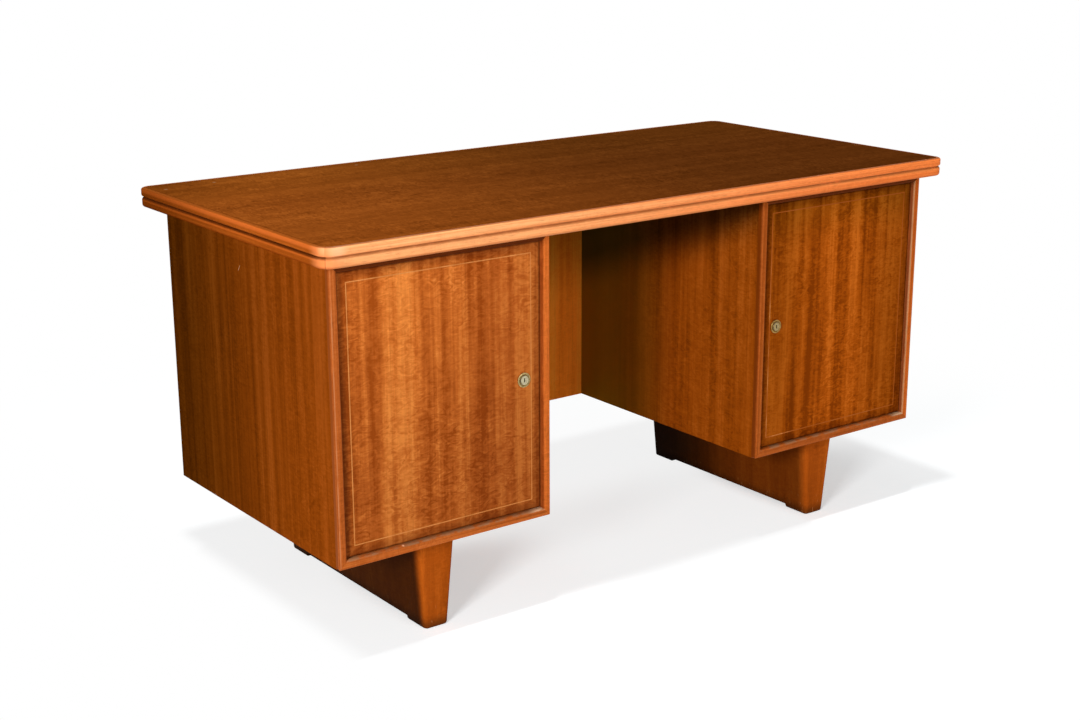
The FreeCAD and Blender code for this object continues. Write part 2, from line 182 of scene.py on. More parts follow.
def wood(name, along, deep, mid, pale, ribbon=1.0, wide=26, mottle=0.5, lines=0.3, pores=0.5, rough=0.42,
         gloss=0.02, shift=(0, 0, 0)):
    """Lacquered wood: ribbons along the grain, crossed by flecks, with dark lines, fibres and pores."""
    material = bpy.data.materials.new(name)
    material.use_nodes = True
    tree = material.node_tree
    shader = tree.nodes["Principled BSDF"]
    broad = noise(tree, by_grain(along, wide, 0.9), 2.0, 0.5, 0.3, shift)
    narrow = noise(tree, by_grain(along, wide * 3.2, 2.5), 2.0, 0.6, 0.25, shift)
    fleck = noise(tree, by_grain(along, 50, 110), 2.0, 0.5, 1.8, shift)
    cloud = noise(tree, by_grain(along, 34, 22), 2.0, 0.5, 0.8, shift)
    patch = spread(tree, noise(tree, by_grain(along, 9, 5), 1.0, 0.5, 0.3, shift), 0.36, 0.62, 0.55, 1.0)
    figure = sum_up(tree, "SUBTRACT", gather(tree, ((fleck, 1.0), (cloud, 0.45))), 0.5)
    figure = sum_up(tree, "MULTIPLY", figure, patch)
    stripes = gather(tree, ((broad, 2.9 * ribbon), (narrow, 1.2 * ribbon)))
    tone = put(tree, "ShaderNodeMath", {0: figure, 1: 2.2 * mottle, 2: stripes}, operation="MULTIPLY_ADD")
    ramp = put(tree, "ShaderNodeValToRGB", {0: tone.outputs[0]})
    ramp.color_ramp.elements[0].color = (*deep, 1)
    ramp.color_ramp.elements[1].color = (*pale, 1)
    middle = ramp.color_ramp.elements.new(0.5)
    middle.color = (*mid, 1)
    fibres = noise(tree, by_grain(along, 700, 10), 3.0, 0.6, 0.0, shift)
    colour = blend(tree, spread(tree, fibres, 0.38, 0.68, 0.0, 0.35 * pores), ramp.outputs[0],
                   (*[c * 0.5 for c in deep], 1))
    dashes = noise(tree, by_grain(along, 1700, 60), 1.0, 0.5, 0.0, shift)
    colour = blend(tree, spread(tree, dashes, 0.60, 0.70, 0.0, 0.55 * pores), colour,
                   (*[c * 0.3 for c in deep], 1))
    veins = noise(tree, by_grain(along, 190, 0.8), 1.0, 0.5, 0.1, shift)
    colour = blend(tree, spread(tree, veins, 0.60, 0.72, 0.0, lines), colour,
                   (*[c * 0.72 for c in deep], 1))
    tree.links.new(colour, shader.inputs["Base Color"])
    tree.links.new(spread(tree, fibres, 0.3, 0.7, rough - 0.05, rough + 0.08), shader.inputs["Roughness"])
    bump = put(tree, "ShaderNodeBump", {"Height": sum_up(tree, "SUBTRACT", fibres, dashes),
                                        "Strength": 0.10 * pores, "Distance": 0.0004})
    tree.links.new(bump.outputs[0], shader.inputs["Normal"])
    shader.inputs["Specular IOR Level"].default_value = gloss
    return material


def lay_over(material, mask, colour, kind="MIX"):
    """Lay a further tint over a finished material through a mask."""
    tree = material.node_tree
    socket = tree.nodes["Principled BSDF"].inputs["Base Color"]
    tree.links.new(blend(tree, mask, socket.links[0].from_socket, (*colour, 1), kind), socket)


def axis_of(tree, axis):
    """One of the piece's own coordinates."""
    return put(tree, "ShaderNodeSeparateXYZ", {0: place_on_piece(tree)}).outputs[axis]


def gap(tree, first, second):
    """How far apart two values are."""
    return sum_up(tree, "ABSOLUTE", sum_up(tree, "SUBTRACT", first, second), 0.0)


def apart(tree, axis, centre=0.0):
    """How far the surface is from a place on one axis, to either side."""
    return gap(tree, axis_of(tree, axis), centre)


def band(tree, value, rise, fall, strength=1.0):
    """A mask over a band of a value, rising between two limits and falling between two more."""
    return sum_up(tree, "MULTIPLY", spread(tree, value, *rise), spread(tree, value, *fall, strength, 0.0))


def near(tree, place, radius, soft):
    """One within a radius of a place, falling off softly outside it."""
    far = put(tree, "ShaderNodeVectorMath", {0: place_on_piece(tree), 1: place}, operation="DISTANCE")
    return spread(tree, far.outputs["Value"], radius, radius + soft, 1.0, 0.0)


def broken(tree, mask, scale, low=0.42, high=0.6, shift=(0, 0, 0)):
    """Break up a mask with noise, as dirt and wear are never even."""
    return sum_up(tree, "MULTIPLY", mask, spread(tree, noise(tree, scale, 3.0, 0.6, 0.2, shift), low, high))


runner_wood = wood("runner_wood", "Z", (0.255, 0.047, 0.0026), (0.38, 0.075, 0.005), (0.51, 0.115, 0.010),
                   ribbon=0.4, wide=34, mottle=0.4, lines=0.2, pores=0.5, gloss=0.005)
tree = runner_wood.node_tree
lay_over(runner_wood, spread(tree, axis_of(tree, "Z"), 0.0, 0.03, 0.75, 0.0), (0.06, 0.018, 0.004))
scuffs = spread(tree, axis_of(tree, "Z"), 0.01, 0.06, 0.5, 0.0)
lay_over(runner_wood, broken(tree, scuffs, (160, 160, 60), 0.62, 0.70), (0.62, 0.26, 0.09))
# Painted shade: the runners darkened behind the toe, as if in the shadow of the pedestal above, the left one
# more.
painted_shade_behind_toe = spread(tree, axis_of(tree, "Y"), -0.275, -0.250)
lay_over(runner_wood, painted_shade_behind_toe, (0.44, 0.46, 0.46), "MULTIPLY")
painted_shade_left_flank = sum_up(tree, "MULTIPLY", painted_shade_behind_toe, spread(tree, axis_of(tree, "X"), -0.3, 0.3, 1.0, 0.0))
lay_over(runner_wood, painted_shade_left_flank, (0.34, 0.37, 0.40), "MULTIPLY")
# Painted shade: the right runner darkened towards its rear, deep under the pedestal.
painted_shade_right_rear = sum_up(tree, "MULTIPLY", spread(tree, axis_of(tree, "Y"), -0.14, 0.16),
                    spread(tree, axis_of(tree, "X"), -0.3, 0.3))
lay_over(runner_wood, painted_shade_right_rear, (0.14, 0.20, 0.30), "MULTIPLY")
runner_middle = Vector((0.491, -0.0205, 0))
runner_top = Vector((0.080, 0.522, 0.184))
runner_foot = Vector((0.051, 0.508, 0.184))
pad_length, relief_height, relief_slope = 0.057, 0.008, 0.006
upright_round, toe_round, cutter_reach = 0.009, 0.0042, 0.1
half_top = Vector((runner_top.x / 2, runner_top.y / 2, 0))
beam = start_box("right_runner_beam", runner_middle - half_top,
                 runner_middle + half_top + Vector((0, 0, runner_top.z)))
bpy.ops.object.mode_set(mode="EDIT")
choose("FACE", lambda middle, facing: facing.z < -MOSTLY)
bpy.ops.transform.resize(value=(runner_foot.x / runner_top.x, runner_foot.y / runner_top.y, 1),
                         center_override=runner_middle)
choose("EDGE", lambda middle, run: abs(run.z) > MOSTLY)
bpy.ops.mesh.bevel(offset=upright_round, segments=8, affect="EDGES")
choose("EDGE", lambda middle, run: middle.z < CLOSE)
bpy.ops.mesh.bevel(offset=toe_round, segments=4, affect="EDGES")
bpy.ops.object.mode_set(mode="OBJECT")
relief_half = runner_foot.y / 2 - pad_length
relief = start_box("relief", runner_middle + Vector((-cutter_reach, -relief_half, -relief_height)),
                   runner_middle + Vector((cutter_reach, relief_half, relief_height)))
bpy.ops.object.mode_set(mode="EDIT")
choose("FACE", lambda middle, facing: facing.z > MOSTLY)
bpy.ops.transform.resize(value=(1, 1 - relief_slope / relief_half, 1), center_override=runner_middle)
bpy.ops.object.mode_set(mode="OBJECT")
cut_away(beam, relief)
smooth()
left_beam = another(beam, "left_runner_beam", (-2 * runner_middle.x, 0, 0))
fit(left_beam, runner_wood, "carcass", "runner_wood", "left_runner")
fit(beam, runner_wood, "carcass", "runner_wood", "right_runner")


# Pedestal boards, back panels and the modesty panel. Veneered boards, glued and dowelled together,
# the modesty panel held between the pedestals. Striped veneer laid upright in narrow ribbons, browner
# than the doors, with a dry scratch on the left side.
def finish_nodes(material, *names):
    """Give solids of the frame their finished material."""
    for name in names:
        nodes[name].data.materials.clear()
        nodes[name].data.materials.append(material)


side_veneer = wood("side_veneer", "Z", (0.168, 0.032, 0.0014), (0.265, 0.053, 0.0031),
                   (0.365, 0.080, 0.0078), ribbon=0.52, wide=44, mottle=0.45, lines=0.3, pores=0.4,
                   gloss=0.0)
tree = side_veneer.node_tree
# Painted shade: the outer sides darken towards the rear, as the light falls away.
lay_over(side_veneer, spread(tree, axis_of(tree, "Y"), -0.30, 0.34), (0.30, 0.36, 0.20), "MULTIPLY")
scratch_place, scratch_slope = (-0.719, 0.0036, 0.6638), 1.4
scratch_level = scratch_place[2] + scratch_slope * scratch_place[1]
level = sum_up(tree, "ADD", axis_of(tree, "Z"), sum_up(tree, "MULTIPLY", axis_of(tree, "Y"), scratch_slope))
scratch = spread(tree, gap(tree, level, scratch_level), 0.0003, 0.0014, 0.7, 0.0)
scratch = sum_up(tree, "MULTIPLY", scratch, near(tree, scratch_place, 0.005, 0.003))
lay_over(side_veneer, scratch, (0.66, 0.40, 0.22))
knee_veneer = wood("knee_veneer", "Z", (0.205, 0.040, 0.0015), (0.340, 0.070, 0.0031),
                   (0.47, 0.11, 0.0085), ribbon=0.6, wide=36, mottle=0.55, lines=0.25, pores=0.4,
                   gloss=0.0, shift=(1.3, 4.1, 0.7))
tree = knee_veneer.node_tree
# Painted shade colour: the rear of the inner sides tinted greener, to stand in for how they look in deep
# shade.
painted_shade_rear_tint = band(tree, axis_of(tree, "Y"), (-0.06, 0.20), (0.276, 0.284), 0.85)
lay_over(knee_veneer, painted_shade_rear_tint, (0.31, 0.165, 0.0080))
# Painted shadow: the desk top's shadow laid over the upper rear of the inner sides, along a slope.
shade_slope = 0.36
level = sum_up(tree, "ADD", axis_of(tree, "Z"), sum_up(tree, "MULTIPLY", axis_of(tree, "Y"), shade_slope))
lay_over(knee_veneer, spread(tree, level, 0.51, 0.61), (0.28, 0.38, 0.80), "MULTIPLY")
back_veneer = wood("back_veneer", "Z", (0.78, 0.165, 0.0090), (0.96, 0.24, 0.0165), (1.0, 0.31, 0.027),
                   ribbon=0.6, wide=36, mottle=0.5, lines=0.25, pores=0.4, gloss=0.0,
                   shift=(5.2, 2.6, 3.9))
tree = back_veneer.node_tree
# Painted light: the modesty panel's front face is left much paler than the faces behind it, to make up for
# the shade in the kneehole.
lay_over(back_veneer, spread(tree, axis_of(tree, "Y"), 0.264, 0.276), (0.48, 0.42, 0.36), "MULTIPLY")
# Painted shade: darker towards the top, under the desk top.
lay_over(back_veneer, spread(tree, axis_of(tree, "Z"), 0.38, 0.58), (0.40, 0.44, 0.40), "MULTIPLY")
# Painted shadow: the modesty panel darker to the left, where the left pedestal shades it.
painted_shadow_left = spread(tree, axis_of(tree, "X"), 0.14, 0.23, 1.0, 0.0)
lay_over(back_veneer, painted_shadow_left, (0.78, 0.78, 0.76), "MULTIPLY")
for side in PEDESTALS:
    finish_nodes(side_veneer, f"{side}_outer_side")
    finish_nodes(knee_veneer, f"{side}_inner_side")
    finish_nodes(back_veneer, f"{side}_back_panel")
finish_nodes(back_veneer, "modesty_panel")


# Front frames. A stile or rail of solid wood on each side of the door opening, glued over the
# boards' front edges and mitred at the corners, with its arrises rounded over, worn pale and painted with a
# highlight.
def mitred(ring, name, *cuts):
    """One side of a ring, cut from it along the mitres at its two ends."""
    piece = another(ring, name)
    bpy.ops.object.mode_set(mode="EDIT")
    for corner, facing in cuts:
        bpy.ops.mesh.select_mode(type="FACE")
        bpy.ops.mesh.select_all(action="SELECT")
        bpy.ops.mesh.bisect(plane_co=corner, plane_no=facing, use_fill=True, clear_outer=True)
    bpy.ops.object.mode_set(mode="OBJECT")
    smooth()
    return piece


def open_through(*faces):
    """Draw in two faces, each by its own width, open them, and join the openings into a ring."""
    for test, width in faces:
        choose("FACE", test)
        bpy.ops.mesh.inset(thickness=width, use_even_offset=True)
        bpy.ops.mesh.delete(type="FACE")
    bpy.ops.mesh.select_mode(type="EDGE")
    bpy.ops.mesh.select_all(action="DESELECT")
    bpy.ops.mesh.select_non_manifold()
    bpy.ops.mesh.bridge_edge_loops()


frame_low, frame_high = Vector((0.263, -0.3225, 0.184)), Vector((0.719, -0.3105, 0.728))
frame_width, outer_round, inner_round = 0.016, 0.003, 0.004
bay_low = frame_low + Vector((frame_width, 0, frame_width))
bay_high = frame_high - Vector((frame_width, 0, frame_width))


def on_outline(middle, low, high):
    """Whether an edge lies in the frame's front, on an upright rectangle."""
    off = min(abs(middle.x - low.x), abs(middle.x - high.x), abs(middle.z - low.z), abs(middle.z - high.z))
    return off < CLOSE and abs(middle.y - frame_low.y) < CLOSE


ring = start_box("frame_ring", frame_low, frame_high)
bpy.ops.object.mode_set(mode="EDIT")
open_through((lambda middle, facing: facing.y < -MOSTLY, frame_width),
             (lambda middle, facing: facing.y > MOSTLY, frame_width))
choose("EDGE", lambda middle, run: on_outline(middle, frame_low, frame_high))
bpy.ops.mesh.bevel(offset=outer_round, segments=4, affect="EDGES")
choose("EDGE", lambda middle, run: on_outline(middle, bay_low, bay_high))
bpy.ops.mesh.bevel(offset=inner_round, segments=5, affect="EDGES")
bpy.ops.object.mode_set(mode="OBJECT")
stile_tones = (0.44, 0.093, 0.011), (0.67, 0.152, 0.023), (0.83, 0.225, 0.044)
rail_tones = (0.30, 0.063, 0.0075), (0.46, 0.104, 0.016), (0.57, 0.154, 0.030)
stile_wood = wood("stile_wood", "Z", *stile_tones, ribbon=0.6, wide=90, mottle=0.45, lines=0.4, pores=0.7)
rail_wood = wood("rail_wood", "X", *rail_tones, ribbon=0.6, wide=90, mottle=0.45, lines=0.4, pores=0.7)
tree = stile_wood.node_tree
from_outer = sum_up(tree, "SUBTRACT", frame_high.x, apart(tree, "X"))
from_inner = sum_up(tree, "SUBTRACT", apart(tree, "X"), frame_low.x)
lay_over(stile_wood, spread(tree, from_outer, 0.0006, 0.0022, 1.0, 0.0), (0.80, 0.70, 0.58), "MULTIPLY")
behind_face = spread(tree, axis_of(tree, "Y"), frame_low.y + 0.0035, frame_low.y + 0.0055)
outer_flank = sum_up(tree, "MULTIPLY", behind_face, spread(tree, from_outer, 0.0002, 0.0010, 1.0, 0.0))
lay_over(stile_wood, outer_flank, (0.40, 0.085, 0.008))
inner_flank = sum_up(tree, "MULTIPLY", behind_face, spread(tree, from_inner, 0.0002, 0.0010, 1.0, 0.0))
lay_over(stile_wood, inner_flank, (0.48, 0.105, 0.008))
# Painted highlight and wear: a broken pale band along the outer arris of each stile.
arris = band(tree, from_outer, (0.0012, 0.0022), (0.0030, 0.0040), 0.8)
lay_over(stile_wood, broken(tree, arris, (90, 90, 14), 0.3, 0.55), (0.70, 0.27, 0.10))
# Darker along the stiles' edges beside the door opening.
for edge_x in (bay_low.x, bay_high.x):
    by_opening = spread(tree, gap(tree, apart(tree, "X"), edge_x), 0.0008, 0.0032, 0.9, 0.0)
    lay_over(stile_wood, broken(tree, by_opening, (60, 60, 10), 0.2, 0.5), (0.42, 0.34, 0.30), "MULTIPLY")
lay_over(stile_wood, spread(tree, from_inner, 0.0, 0.0020, 0.7, 0.0), (0.60, 0.52, 0.46), "MULTIPLY")
# Painted light: the right pedestal's outer stile is lightened, to make up for the shade it lies in under the
# top.
lay_over(stile_wood, spread(tree, axis_of(tree, "X"), 0.50, 0.70), (1.60, 1.50, 1.30), "MULTIPLY")
lay_over(stile_wood, spread(tree, axis_of(tree, "X"), -0.62, -0.30, 0.85, 0.0), (0.58, 0.58, 0.64),
         "MULTIPLY")
lay_over(stile_wood, spread(tree, axis_of(tree, "X"), -0.20, 0.25), (0.56, 0.52, 0.42), "MULTIPLY")
# A pale line along the inner edge of the right pedestal's outer stile: worn, and a painted highlight.
rub_and_highlight_x = bay_high.x + 0.0017
rub_and_highlight = spread(tree, apart(tree, "X", rub_and_highlight_x), 0.0008, 0.0020, 0.7, 0.0)
lay_over(stile_wood, broken(tree, rub_and_highlight, (50, 50, 7), 0.2, 0.5), (0.52, 0.26, 0.115))
tree = rail_wood.node_tree
ledge = band(tree, axis_of(tree, "Z"), (bay_low.z - 0.0040, bay_low.z - 0.0015),
             (bay_low.z + 0.0003, bay_low.z + 0.0020), 0.7)
lay_over(rail_wood, broken(tree, ledge, (40, 40, 40), 0.40, 0.60), (0.27, 0.15, 0.075))
# Painted shade: the top rails and the upper edge of the bay darkened, as in the shadow of the desk top.
painted_shade_under_top = spread(tree, axis_of(tree, "Z"), bay_high.z - 0.0035, bay_high.z - 0.0010)
lay_over(rail_wood, painted_shade_under_top, (0.30, 0.26, 0.24), "MULTIPLY")
corner_dust = sum_up(tree, "MAXIMUM", near(tree, (-0.287, -0.3170, 0.1995), 0.004, 0.026),
                     near(tree, (0.698, -0.3170, 0.1995), 0.004, 0.030))
corner_dust = sum_up(tree, "MULTIPLY", corner_dust, broken(tree, ledge, (120, 120, 120), 0.30, 0.52))
lay_over(rail_wood, corner_dust, (0.68, 0.45, 0.27))
chip = near(tree, (-0.5877, -0.3190, 0.1985), 0.0015, 0.002)
lay_over(rail_wood, chip, (0.78, 0.44, 0.24))
low_inner, low_outer = Vector((frame_low.x, 0, frame_low.z)), Vector((frame_high.x, 0, frame_low.z))
high_inner, high_outer = Vector((frame_low.x, 0, frame_high.z)), Vector((frame_high.x, 0, frame_high.z))


def eased(corner, out_x, out_z, radius=0.0035):
    """Cuts that ease a frame's outer corner over to a small radius."""
    middle = corner - Vector((out_x * radius, 0, out_z * radius))
    turns = [math.radians(degrees) for degrees in (22.5, 45, 67.5)]
    facings = [Vector((out_x * math.cos(turn), 0, out_z * math.sin(turn))) for turn in turns]
    return [(middle + radius * facing, facing) for facing in facings]


low_eased = eased(low_inner, -1, -1), eased(low_outer, 1, -1)
high_eased = eased(high_inner, -1, 1), eased(high_outer, 1, 1)
frame_cuts = {
    "inner_stile": ((low_inner, (1, 0, -1)), (high_inner, (1, 0, 1)), *low_eased[0], *high_eased[0]),
    "outer_stile": ((low_outer, (-1, 0, -1)), (high_outer, (-1, 0, 1)), *low_eased[1], *high_eased[1]),
    "bottom_rail": ((low_inner, (-1, 0, 1)), (low_outer, (1, 0, 1)), *low_eased[0], *low_eased[1]),
    "top_rail": ((high_inner, (-1, 0, -1)), (high_outer, (1, 0, -1)), *high_eased[0], *high_eased[1]),
}
left_names = {"inner_stile": "outer_stile", "outer_stile": "inner_stile"}
ring_move = (-frame_low.x - frame_high.x, 0, 0)
for member, cuts in frame_cuts.items():
    member_wood = rail_wood if "rail" in member else stile_wood
    piece = mitred(ring, f"right_{member}_moulding", *cuts)
    twin_member = left_names.get(member, member)
    twin = another(piece, f"left_{twin_member}_moulding", ring_move)
    fit(piece, member_wood, "carcass", "frame_wood", f"right_{member}")
    fit(twin, member_wood, "carcass", "frame_wood", f"left_{twin_member}")
bpy.data.objects.remove(ring)


# Inside of the pedestals. Plain lacquered boards: the bottom and top that tie the sides together,
# a shelf laid loose on two battens, the block that stops the door, and cleats behind the modesty panel.
inner_wood = wood("inner_wood", "Y", (0.21, 0.068, 0.017), (0.31, 0.108, 0.030), (0.41, 0.155, 0.050),
                  ribbon=0.5, wide=20, mottle=0.25, pores=0.6, rough=0.5, gloss=0.08)
for side in PEDESTALS:
    finish_nodes(inner_wood, f"{side}_carcass_bottom", f"{side}_carcass_top", f"{side}_shelf",
                 f"{side}_shelf_battens", f"{side}_door_stop")
finish_nodes(inner_wood, "modesty_cleats")


# Doors. A veneered board set inside each frame, its ribbons upright and crossed by a fine ripple,
# darkened at its edges, partly by handling and partly by painted shade from the frame round it.
# A string of pale wood is let into a groove round its face.
# The two leaves of veneer differ: the right one is darker, and so is its string.
left_door_veneer = wood("left_door_veneer", "Z", (0.32, 0.062, 0.0056), (0.54, 0.134, 0.0190),
                        (0.78, 0.25, 0.046), ribbon=0.85, wide=25, mottle=0.7, lines=0.15, pores=0.4,
                        gloss=0.015)
right_door_veneer = wood("right_door_veneer", "Z", (0.218, 0.039, 0.0017), (0.390, 0.077, 0.0038),
                         (0.560, 0.130, 0.0100), ribbon=0.95, wide=29, mottle=0.75, lines=0.2, pores=0.4,
                         gloss=0.0, shift=(3.1, 1.7, 5.3))
door_low, door_high = Vector((0.2808, 0, 0.2018)), Vector((0.7012, 0, 0.7102))
door_middle, door_half = (door_low + door_high) / 2, (door_high - door_low) / 2
for veneer in (left_door_veneer, right_door_veneer):
    tree = veneer.node_tree
    from_x = sum_up(tree, "SUBTRACT", door_half.x, gap(tree, apart(tree, "X"), door_middle.x))
    from_z = sum_up(tree, "SUBTRACT", door_half.z, apart(tree, "Z", door_middle.z))
    from_edge = sum_up(tree, "MINIMUM", from_x, from_z)
    # Painted shade with handling: a darker margin round each door, and a dark painted shadow line right at
    # its edge.
    margin = spread(tree, from_edge, 0.004, 0.026, 0.85, 0.0)
    lay_over(veneer, broken(tree, margin, (22, 22, 14), 0.15, 0.5), (0.60, 0.55, 0.52), "MULTIPLY")
    lay_over(veneer, spread(tree, from_edge, 0.0006, 0.0035, 0.8, 0.0), (0.40, 0.35, 0.32), "MULTIPLY")
tree = left_door_veneer.node_tree
by_lock = spread(tree, axis_of(tree, "X"), -0.52, -0.33)
lay_over(left_door_veneer, by_lock, (0.77, 0.70, 0.66), "MULTIPLY")
low_down = spread(tree, axis_of(tree, "Z"), 0.25, 0.66, 1.0, 0.0)
lay_over(left_door_veneer, low_down, (0.74, 0.71, 0.70), "MULTIPLY")
tree = right_door_veneer.node_tree
off_middle = spread(tree, apart(tree, "X", door_middle.x), 0.03, 0.18)
lay_over(right_door_veneer, off_middle, (0.67, 0.67, 0.58), "MULTIPLY")
high_up = spread(tree, axis_of(tree, "Z"), 0.60, 0.71)
lay_over(right_door_veneer, high_up, (0.72, 0.84, 0.80), "MULTIPLY")
finish_nodes(left_door_veneer, "left_door")
finish_nodes(right_door_veneer, "right_door")
inlay_wood = wood("inlay_wood", "Z", (0.47, 0.170, 0.038), (0.60, 0.225, 0.056), (0.72, 0.29, 0.085),
                  ribbon=0.5, wide=40, mottle=0.3, pores=0.3)
tree = inlay_wood.node_tree
stained = spread(tree, axis_of(tree, "X"), -0.3, 0.3, 0.20, 0.95)
lay_over(inlay_wood, broken(tree, stained, (14, 14, 14), 0.40, 0.54), (0.36, 0.080, 0.010))
lay_over(inlay_wood, spread(tree, axis_of(tree, "X"), 0.34, 0.40, 0.0, 0.85), (0.34, 0.080, 0.008))
high_right = sum_up(tree, "MULTIPLY", spread(tree, axis_of(tree, "X"), 0.26, 0.30),
                    spread(tree, axis_of(tree, "Z"), 0.66, 0.69, 0.0, 0.75))
lay_over(inlay_wood, high_right, (0.27, 0.060, 0.006))
string_low, string_high = Vector((0.2988, -0.3135, 0.2198)), Vector((0.6832, -0.3127, 0.6922))
string_width = 0.002
string = start_box("right_door_string", string_low, string_high)
bpy.ops.object.mode_set(mode="EDIT")
open_through((lambda middle, facing: facing.y < -MOSTLY, string_width),
             (lambda middle, facing: facing.y > MOSTLY, string_width))
bpy.ops.object.mode_set(mode="OBJECT")
left_string = another(string, "left_door_string", (-string_low.x - string_high.x, 0, 0))
fit(left_string, inlay_wood, "left_door", "inlay", "left_door_inlay")
fit(string, inlay_wood, "right_door", "inlay", "right_door_inlay")


# Locks and hinges. Turned brass rosettes round the lock barrels, a plated case with a sliding bolt
# behind each door, and brass pivot plates let into the top and bottom of door and carcass.
def metal(name, base, tarnish, rough, scale=(90, 90, 90)):
    """Aged metal: a bright base, dull patches of tarnish and fine scratches."""
    material = bpy.data.materials.new(name)
    material.use_nodes = True
    tree = material.node_tree
    shader = tree.nodes["Principled BSDF"]
    stain = noise(tree, scale, 3.0, 0.6, 0.4)
    scratches = noise(tree, (1400, 300, 220), 2.0, 0.5, 0.3)
    colour = blend(tree, spread(tree, stain, 0.40, 0.66, 0.0, 0.8), (*base, 1), (*tarnish, 1))
    tree.links.new(colour, shader.inputs["Base Color"])
    dulled = sum_up(tree, "ADD", spread(tree, stain, 0.35, 0.7, rough - 0.08, rough + 0.14),
                    spread(tree, scratches, 0.4, 0.7, 0.0, 0.08))
    tree.links.new(dulled, shader.inputs["Roughness"])
    bump = put(tree, "ShaderNodeBump", {"Height": scratches, "Strength": 0.08, "Distance": 0.0002})
    tree.links.new(bump.outputs[0], shader.inputs["Normal"])
    shader.inputs["Metallic"].default_value = 1.0
    return material


def on_axis(middle, facing):
    """Whether a face looks to the front from the lathe's own axis."""
    return facing.y < -MOSTLY and math.hypot(middle.x, middle.z) < CLOSE


def turned_ring(name, radius, hole, thickness, rim, steps):
    """A ring turned on the lathe, facing the front: a rounded rim, then steps towards its hole."""
    bpy.ops.object.select_all(action="DESELECT")
    bpy.ops.mesh.primitive_cylinder_add(vertices=64, radius=radius, depth=thickness,
                                        location=(0, -thickness / 2, 0), rotation=(math.pi / 2, 0, 0))
    bpy.ops.object.transform_apply(location=True, rotation=True, scale=True)
    piece = bpy.context.object
    piece.name = name
    bpy.ops.object.mode_set(mode="EDIT")
    choose("EDGE", lambda middle, run: abs(middle.y + thickness) < CLOSE)
    bpy.ops.mesh.bevel(offset=rim, segments=4, affect="EDGES")
    reach = radius - rim
    for width, depth in steps:
        choose("FACE", on_axis)
        bpy.ops.mesh.inset(thickness=width, depth=depth, use_even_offset=True)
        reach -= width
    open_through((on_axis, reach - hole), (lambda middle, facing: facing.y > MOSTLY, radius - hole))
    bpy.ops.object.mode_set(mode="OBJECT")
    smooth()
    return piece


brass = metal("brass", (0.56, 0.46, 0.24), (0.27, 0.20, 0.085), 0.34)
lock_x, lock_z, door_face, barrel_face = 0.3168, 0.456, -0.3135, -0.3171
rosette_brass = metal("rosette_brass", (0.50, 0.37, 0.16), (0.18, 0.12, 0.035), 0.3, (260, 260, 260))
tree = rosette_brass.node_tree
out_x = sum_up(tree, "SUBTRACT", apart(tree, "X"), lock_x)
out_z = sum_up(tree, "SUBTRACT", axis_of(tree, "Z"), lock_z)
out = sum_up(tree, "SQRT", sum_up(tree, "ADD", sum_up(tree, "MULTIPLY", out_x, out_x),
                                  sum_up(tree, "MULTIPLY", out_z, out_z)), 0.0)
channel = band(tree, out, (0.0086, 0.0092), (0.0104, 0.0112), 0.9)
lay_over(rosette_brass, channel, (0.11, 0.062, 0.016))
lay_over(rosette_brass, spread(tree, axis_of(tree, "X"), -0.1, 0.1), (0.84, 0.68, 0.45), "MULTIPLY")
plug_brass = metal("plug_brass", (0.56, 0.50, 0.33), (0.26, 0.20, 0.09), 0.26, (500, 500, 500))
tree = plug_brass.node_tree
# Painted shade: the keyway laid in near black, for the shade inside it.
off_keyway = gap(tree, apart(tree, "X"), lock_x)
painted_keyway_shade = sum_up(tree, "MULTIPLY", spread(tree, off_keyway, 0.0009, 0.0012, 1.0, 0.0),
                spread(tree, apart(tree, "Z", lock_z), 0.0035, 0.0039, 1.0, 0.0))
lay_over(plug_brass, painted_keyway_shade, (0.012, 0.009, 0.006))
lay_over(plug_brass, spread(tree, axis_of(tree, "X"), -0.1, 0.1), (0.74, 0.62, 0.42), "MULTIPLY")
rosette = turned_ring("rosette", radius=0.014, hole=0.0086, thickness=0.0022, rim=0.0008,
                      steps=((0.0012, 0), (0.0005, -0.0009), (0.0010, -0.0002), (0.0008, 0.0003)))
collar = turned_ring("collar", radius=0.0084, hole=0.0058, thickness=0.0003, rim=0.0002,
                     steps=((0.0008, 0), (0.0004, -0.0001)))
for side, sign in PEDESTALS.items():
    flange = another(rosette, f"{side}_rosette_turning", (sign * lock_x, door_face, lock_z))
    fit(flange, rosette_brass, f"{side}_door", "brass", f"{side}_lock_rosette")
    barrel_end = another(collar, f"{side}_barrel_collar", (sign * lock_x, barrel_face, lock_z))
    fit(barrel_end, plug_brass, f"{side}_door", "brass")
bpy.data.objects.remove(rosette)
bpy.data.objects.remove(collar)
lock_steel = metal("lock_steel", (0.50, 0.49, 0.46), (0.28, 0.27, 0.25), 0.38)
for side in PEDESTALS:
    finish_nodes(plug_brass, f"{side}_lock_plug")
    finish_nodes(brass, f"{side}_lock_bolt", f"{side}_strike_plate")
    finish_nodes(lock_steel, f"{side}_lock_case")
    for end in ("lower", "upper"):
        finish_nodes(brass, f"{side}_{end}_hinge_carcass_plate", f"{side}_{end}_hinge_pin_plate")


